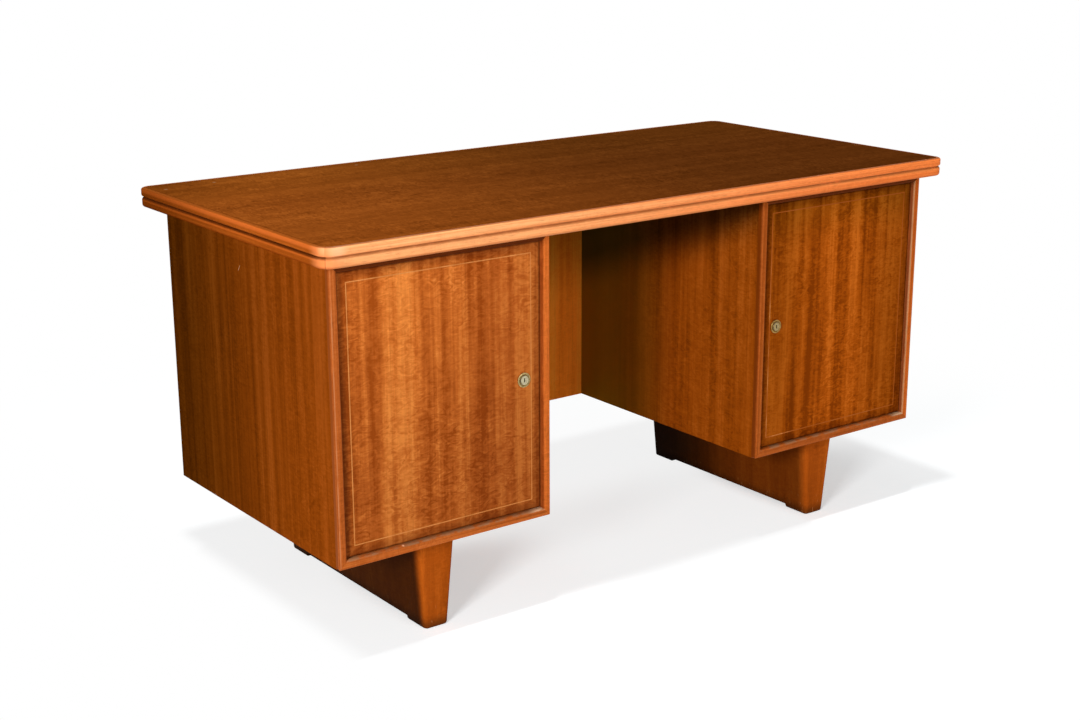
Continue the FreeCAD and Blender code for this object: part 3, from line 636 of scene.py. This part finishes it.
# Desk top. A veneered core with its grain along the desk, dark and evenly figured, inside a solid
# lipping that is mitred at the corners and worked into two beads with a narrow dirty groove between.
top_half, top_low, top_high = Vector((0.75, 0.3625, 0)), 0.728, 0.765
bead_split, groove_low, groove_depth = 0.7485, 0.747, 0.0055
lower_setback, corner_radius, lipping_width = 0.0006, 0.025, 0.009
bead_top_radius, bead_low_radius, groove_top_radius, groove_low_radius = 0.0045, 0.0055, 0.004, 0.0052
top_veneer = wood("top_veneer", "X", (0.200, 0.045, 0.0042), (0.317, 0.0765, 0.0088),
                  (0.455, 0.119, 0.0155), ribbon=0.26, wide=20, mottle=0.75, lines=0.12, pores=0.25,
                  gloss=0.0)
tree = top_veneer.node_tree
# Painted light: the top darkens from left to right, as the light falls across it.
lay_over(top_veneer, spread(tree, axis_of(tree, "X"), -0.95, 0.35), (0.38, 0.405, 0.49), "MULTIPLY")
far_corner = near(tree, (-top_half.x, top_half.y, top_high), 0.02, 0.26)
lay_over(top_veneer, far_corner, (0.55, 0.52, 0.45), "MULTIPLY")
lay_over(top_veneer, spread(tree, axis_of(tree, "Y"), 0.00, 0.30), (1.16, 1.24, 1.16), "MULTIPLY")
from_side = sum_up(tree, "SUBTRACT", top_half.x - lipping_width, apart(tree, "X"))
from_front = sum_up(tree, "SUBTRACT", top_half.y - lipping_width, apart(tree, "Y"))
from_lipping = sum_up(tree, "MINIMUM", from_side, from_front)
lay_over(top_veneer, spread(tree, from_lipping, 0.0008, 0.0030, 0.7, 0.0), (0.13, 0.024, 0.0008))
for speck in ((-0.7176, 0.2997), (-0.6089, 0.3143), (-0.2817, 0.3224)):
    lay_over(top_veneer, near(tree, (*speck, top_high), 0.0012, 0.004), (0.34, 0.18, 0.09))
finish_nodes(top_veneer, "top_panel")
lipping = start_box("lipping_ring", Vector((0, 0, top_low)) - top_half, Vector((0, 0, top_high)) + top_half)
bpy.ops.object.mode_set(mode="EDIT")
choose("EDGE", lambda middle, run: abs(run.z) > MOSTLY)
bpy.ops.mesh.bevel(offset=corner_radius, segments=16, affect="EDGES")
for height in (bead_split, groove_low):
    bpy.ops.mesh.select_mode(type="FACE")
    bpy.ops.mesh.select_all(action="SELECT")
    bpy.ops.mesh.bisect(plane_co=(0, 0, height), plane_no=(0, 0, 1))
choose("FACE", lambda middle, facing: groove_low < middle.z < bead_split and abs(facing.z) < 0.1)
bpy.ops.mesh.extrude_region_shrink_fatten(TRANSFORM_OT_shrink_fatten={"value": -groove_depth,
                                                                      "use_even_offset": True})
choose("FACE", lambda middle, facing: middle.z < groove_low - 0.0005 and abs(facing.z) < 0.1)
bpy.ops.transform.resize(value=(1 - lower_setback / top_half.x, 1 - lower_setback / top_half.y, 1),
                         center_override=(0, 0, top_low))


def on_rim(middle, height, setback):
    """Whether an edge lies at a height on the top's rounded outline."""
    if abs(middle.z - height) > CLOSE:
        return False
    past_x = abs(middle.x) - (top_half.x - corner_radius)
    past_y = abs(middle.y) - (top_half.y - corner_radius)
    reach = math.hypot(past_x, past_y) if past_x > 0 and past_y > 0 else max(past_x, past_y)
    return abs(reach - (corner_radius - setback)) < 0.0004


for height, setback, radius in ((top_high, 0, bead_top_radius), (bead_split, 0, groove_top_radius),
                                (groove_low, lower_setback, groove_low_radius),
                                (top_low, lower_setback, bead_low_radius)):
    choose("EDGE", lambda middle, run: on_rim(middle, height, setback))
    bpy.ops.mesh.bevel(offset=radius, segments=6, affect="EDGES")
open_through((lambda middle, facing: facing.z > LEVEL and middle.z > top_high - CLOSE,
              lipping_width - bead_top_radius),
             (lambda middle, facing: facing.z < -LEVEL and middle.z < top_low + CLOSE,
              lipping_width - lower_setback - bead_low_radius))
bpy.ops.object.mode_set(mode="OBJECT")
long_lipping = wood("long_lipping", "X", (0.78, 0.27, 0.085), (0.92, 0.365, 0.135), (0.97, 0.45, 0.18),
                    ribbon=0.8, wide=130, mottle=0.25, lines=0.5, pores=0.75)
short_lipping = wood("short_lipping", "Y", (0.255, 0.050, 0.0034), (0.350, 0.071, 0.0060),
                     (0.440, 0.098, 0.0102), ribbon=0.7, wide=130, mottle=0.2, lines=0.3, pores=0.8,
                     gloss=0.0)
tree = long_lipping.node_tree
# Painted light: the front and back lippings redder and darker towards the right, where the light is weaker
# than at the left.
to_right = spread(tree, axis_of(tree, "X"), -0.6, 0.75, 0.0, 0.85)
lay_over(long_lipping, to_right, (1.0, 0.56, 0.26), "MULTIPLY")
lay_over(long_lipping, spread(tree, axis_of(tree, "X"), -0.742, -0.705, 1.0, 0.0), (0.84, 0.26, 0.085))
# Painted highlight on the rounded front-left corner of the lipping.
lay_over(long_lipping, near(tree, (-0.722, -0.361, 0.762), 0.003, 0.022), (0.95, 0.45, 0.22))
tree = short_lipping.node_tree
# Painted highlight along the upper bead of the side lippings.
painted_bead_highlight = band(tree, axis_of(tree, "Z"), (0.7545, 0.7595), (0.7630, 0.7646), 0.9)
lay_over(short_lipping, painted_bead_highlight, (0.60, 0.130, 0.020))
# Painted highlight along the top of the lower bead.
painted_low_bead_highlight = spread(tree, apart(tree, "Z", 0.742), 0.001, 0.003, 0.35, 0.0)
lay_over(short_lipping, painted_low_bead_highlight, (0.72, 0.155, 0.022))
lay_over(short_lipping, spread(tree, axis_of(tree, "Y"), -0.10, 0.36), (0.46, 0.43, 0.30), "MULTIPLY")
lay_over(short_lipping, spread(tree, axis_of(tree, "Y"), -0.354, -0.310, 1.0, 0.0), (0.80, 0.235, 0.068))
# Painted highlight on the short lipping's front corner.
lay_over(short_lipping, near(tree, (-0.741, -0.352, 0.762), 0.001, 0.016), (0.90, 0.36, 0.15))
groove_dirt = (long_lipping, (0.46, 0.155, 0.042)), (short_lipping, (0.115, 0.024, 0.004))
for lipping_wood, dirt in groove_dirt:
    tree = lipping_wood.node_tree
    groove = band(tree, axis_of(tree, "Z"), (groove_low - 0.0050, groove_low - 0.0005),
                  (bead_split + 0.0003, bead_split + 0.0020), 0.8)
    lay_over(lipping_wood, broken(tree, groove, (30, 30, 30), 0.1, 0.5), dirt)
    # Painted shade: the lower bead darkened towards its underside, which faces away from the light.
    painted_underside_shade = spread(tree, axis_of(tree, "Z"), top_low + 0.0015, top_low + 0.0065, 0.8, 0.0)
    lay_over(lipping_wood, painted_underside_shade, (0.62, 0.50, 0.42), "MULTIPLY")
    flat = spread(tree, axis_of(tree, "Z"), top_high - 0.0014, top_high - 0.0001, 0.0, 0.8)
    lay_over(lipping_wood, flat, (0.34, 0.085, 0.012))
    end_x = sum_up(tree, "SUBTRACT", top_half.x, apart(tree, "X"))
    end_y = sum_up(tree, "SUBTRACT", top_half.y, apart(tree, "Y"))
    seam = sum_up(tree, "MULTIPLY", spread(tree, gap(tree, end_x, end_y), 0.0004, 0.0014, 1.0, 0.0),
                  spread(tree, axis_of(tree, "Z"), groove_low - 0.0010, groove_low + 0.0005, 0.45, 0.15))
    lay_over(lipping_wood, seam, (0.13, 0.035, 0.010))
corners = {(x, y): Vector((x * top_half.x, y * top_half.y, 0)) for x in (-1, 1) for y in (-1, 1)}
lipping_cuts = {
    "front": ((Vector(), (0, 1, 0)), (corners[-1, -1], (-1, 1, 0)), (corners[1, -1], (1, 1, 0))),
    "back": ((Vector(), (0, -1, 0)), (corners[-1, 1], (-1, -1, 0)), (corners[1, 1], (1, -1, 0))),
    "left": ((corners[-1, -1], (1, -1, 0)), (corners[-1, 1], (1, 1, 0))),
    "right": ((corners[1, -1], (-1, -1, 0)), (corners[1, 1], (-1, 1, 0))),
}
for edge_name, cuts in lipping_cuts.items():
    piece = mitred(lipping, f"{edge_name}_lipping_moulding", *cuts)
    lipping_wood = long_lipping if edge_name in ("front", "back") else short_lipping
    fit(piece, lipping_wood, "carcass", "lipping", f"top_{edge_name}_lipping")
bpy.data.objects.remove(lipping)


# Screws. Slotted heads, sunk into the hinge and strike plates, the lock cases, the shelf battens, the
# door stops, the bottoms over the runners, the boards under the top and the cleats. Plated steel, dulled.
screw_steel = metal("screw_steel", (0.42, 0.40, 0.36), (0.20, 0.17, 0.13), 0.4, (400, 400, 400))
bpy.ops.object.select_all(action="DESELECT")
head_radius, head_depth, head_middle, head_round = 0.0031, 0.0012, -0.0002, 0.0006
slot_reach, slot_half, slot_floor, slot_clear = 0.004, 0.0004, -0.0003, 0.002
bpy.ops.mesh.primitive_cylinder_add(vertices=24, radius=head_radius, depth=head_depth,
                                    location=(0, 0, head_middle))
bpy.ops.object.transform_apply(location=True, rotation=True, scale=True)
screw = bpy.context.object
screw.name = "screw"
bpy.ops.object.mode_set(mode="EDIT")
choose("EDGE", lambda middle, run: middle.z > head_middle + head_depth / 2 - CLOSE)
bpy.ops.mesh.bevel(offset=head_round, segments=3, affect="EDGES")
bpy.ops.object.mode_set(mode="OBJECT")
cut_away(screw, start_box("slot", (-slot_reach, -slot_half, slot_floor), (slot_reach, slot_half, slot_clear)))
smooth()


def screw_set(name, body, facing, places):
    """Copies of the screw, all facing one way with their slots turned at will, as one piece."""
    heads = []
    for number, place in enumerate(places):
        head = screw.copy()
        head.data = screw.data.copy()
        bpy.context.scene.collection.objects.link(head)
        head.rotation_mode = "QUATERNION"
        head.rotation_quaternion = (Vector((0, 0, 1)).rotation_difference(Vector(facing))
                                    @ Quaternion((0, 0, 1), 0.7 + 2.4 * number))
        head.location = place
        heads.append(head)
    bpy.context.view_layer.update()
    make_active(heads[0])
    for head in heads:
        head.select_set(True)
    bpy.ops.object.join()
    heads[0].name = name
    bpy.ops.object.transform_apply(location=True, rotation=True, scale=True)
    fit(heads[0], screw_steel, body, "lock_steel")


hinge_y, case_back, strike_face, strike_y = -0.3045, -0.2826, 0.279, -0.2874
bottom_face, head_face, batten_z, stop_y, stop_top = 0.200, 0.712, 0.436, -0.2872, 0.212
cleat_x, cleat_back = 0.253, 0.2985
for side, sign in PEDESTALS.items():
    door = f"{side}_door"
    hinge = [(sign * x, hinge_y) for x in (0.632, 0.652)]
    screw_set(f"{side}_low_plate_screws", "carcass", (0, 0, 1), [(*place, bottom_face) for place in hinge])
    screw_set(f"{side}_high_plate_screws", "carcass", (0, 0, -1), [(*place, head_face) for place in hinge])
    screw_set(f"{side}_low_pin_screws", door, (0, 0, -1), [(*place, door_low.z) for place in hinge])
    screw_set(f"{side}_high_pin_screws", door, (0, 0, 1), [(*place, door_high.z) for place in hinge])
    screw_set(f"{side}_case_screws", door, (0, 1, 0),
              [(sign * x, case_back, z) for x in (0.2868, 0.3398) for z in (0.4415, 0.4705)])
    screw_set(f"{side}_strike_screws", "carcass", (sign, 0, 0),
              [(sign * strike_face, strike_y, z) for z in (0.4430, 0.4690)])
    for batten, x, face in (("inner", 0.295, 1), ("outer", 0.687, -1)):
        screw_set(f"{side}_{batten}_batten_screws", "carcass", (sign * face, 0, 0),
                  [(sign * x, y, batten_z) for y in (-0.20, 0.02, 0.24)])
    screw_set(f"{side}_stop_screws", "carcass", (0, 0, 1),
              [(sign * x, stop_y, stop_top) for x in (0.474, 0.508)])
    screw_set(f"{side}_runner_screws", "carcass", (0, 0, 1),
              [(sign * runner_middle.x, y, bottom_face) for y in (-0.20, -0.02, 0.16)])
    screw_set(f"{side}_top_screws", "carcass", (0, 0, -1),
              [(sign * x, y, head_face) for x in (0.320, 0.662) for y in (-0.20, 0.20)])
    screw_set(f"{side}_cleat_screws", "carcass", (0, 1, 0),
              [(sign * cleat_x, cleat_back, z) for z in (0.26, 0.456, 0.652)])
bpy.data.objects.remove(screw)


# Studio. A plain white floor that keeps the desk's soft shadow, a white surround, a soft box to the
# left in front, a weaker one straight in front and one high above, and a camera at the photograph's
# viewing angle. The shadow is kept about the desk, deepest by the runners and lighter at the back.
bpy.ops.object.select_all(action="DESELECT")
bpy.ops.mesh.primitive_plane_add(size=60, location=(0, 0, 0))
floor = bpy.context.object
floor.name = "floor"
floor_paint = bpy.data.materials.new("floor_paint")
floor_paint.use_nodes = True
tree = floor_paint.node_tree
paint = tree.nodes["Principled BSDF"]
paint.inputs["Roughness"].default_value = 1.0
paint.inputs["Specular IOR Level"].default_value = 0.0
paint.inputs["Base Color"].default_value = (0.8, 0.8, 0.8, 1)


def seen_rays(tree):
    """One for rays from the camera, a mirror or a glass, zero for light that only bounces."""
    path = put(tree, "ShaderNodeLightPath").outputs
    mirrored = sum_up(tree, "MAXIMUM", path["Is Glossy Ray"], path["Is Transmission Ray"])
    return sum_up(tree, "MAXIMUM", path["Is Camera Ray"], mirrored)


far = put(tree, "ShaderNodeVectorMath", {0: place_on_piece(tree)}, operation="LENGTH").outputs["Value"]
by_left = band(tree, axis_of(tree, "X"), (-0.56, -0.50), (-0.30, 0.06))
by_right = band(tree, axis_of(tree, "X"), (0.42, 0.48), (0.68, 1.04))
by_runner = sum_up(tree, "MULTIPLY", sum_up(tree, "MAXIMUM", by_left, by_right),
                   spread(tree, axis_of(tree, "Y"), -0.05, 0.14, 1.0, 0.0))
about = sum_up(tree, "MULTIPLY", spread(tree, far, 1.1, 1.8, 1.0, 0.0),
               spread(tree, axis_of(tree, "X"), -0.70, -0.64))
at_back = sum_up(tree, "MULTIPLY", spread(tree, axis_of(tree, "Y"), 0.0, 0.22),
                 spread(tree, axis_of(tree, "X"), -0.45, -0.20, 0.0, 0.40))
about = sum_up(tree, "MULTIPLY", about, sum_up(tree, "SUBTRACT", 1.0, at_back))
shade_share = sum_up(tree, "MULTIPLY", about, spread(tree, by_runner, 0.0, 1.0, 0.34, 1.0))
shade_tone = blend(tree, shade_share, (0, 0, 0, 1), (0.93, 0.98, 1.0, 1))
shade = put(tree, "ShaderNodeBsdfDiffuse", {"Color": shade_tone})
dimmed = put(tree, "ShaderNodeMath", {0: shade_share, 1: 0.41, 2: sum_up(tree, "MULTIPLY", about, 0.11)},
             operation="MULTIPLY_ADD")
glow_left = sum_up(tree, "SUBTRACT", 1.0, dimmed.outputs[0])
glow = put(tree, "ShaderNodeEmission", {"Color": (1, 1, 1, 1), "Strength": glow_left})
both = put(tree, "ShaderNodeAddShader", {0: shade.outputs[0], 1: glow.outputs[0]})
shown = put(tree, "ShaderNodeMixShader", {0: seen_rays(tree), 1: paint.outputs[0], 2: both.outputs[0]})
tree.links.new(shown.outputs[0], tree.nodes["Material Output"].inputs["Surface"])
floor.data.materials.append(floor_paint)

world = bpy.data.worlds.new("studio")
bpy.context.scene.world = world
world.use_nodes = True
tree = world.node_tree
surround = tree.nodes["Background"].inputs
tree.links.new(spread(tree, seen_rays(tree), 0.0, 1.0, 0.14, 1.0), surround["Strength"])
surround["Color"].default_value = (1, 1, 1, 1)


def lamp(name, place, target, size, power):
    """A soft box that faces a target."""
    data = bpy.data.lights.new(name, "AREA")
    data.shape = "RECTANGLE"
    data.size, data.size_y = size
    data.energy = power
    lamp_object = bpy.data.objects.new(name, data)
    bpy.context.scene.collection.objects.link(lamp_object)
    lamp_object.location = place
    lamp_object.rotation_mode = "QUATERNION"
    lamp_object.rotation_quaternion = (Vector(target) - Vector(place)).to_track_quat("-Z", "Y")


lamp("front_box", (-5.4, -3.4, 2.4), (0.0, 0.0, 0.4), (1.4, 1.2), 286)
lamp("fill_box", (0.6, -6.0, 1.4), (0.0, 0.0, 0.4), (2.5, 2.0), 104)
lamp("high_box", (-1.9, -1.1, 12.0), (0.0, 0.0, 0.0), (0.8, 0.8), 765)

camera_data = bpy.data.cameras.new("camera")
camera_data.sensor_width = 36.0
camera_data.lens = 57.506
camera = bpy.data.objects.new("camera", camera_data)
bpy.context.scene.collection.objects.link(camera)
camera.location = (-2.08686, -2.761907, 1.351215)
camera.rotation_mode = "QUATERNION"
yaw, pitch, roll = 0.635900, -0.276560, -0.004333
camera.rotation_quaternion = (Quaternion((0, 0, 1), -yaw) @ Quaternion((1, 0, 0), math.pi / 2 + pitch)
                              @ Quaternion((0, 0, 1), roll))
bpy.context.scene.camera = camera
bpy.context.scene.view_settings.view_transform = "Standard"
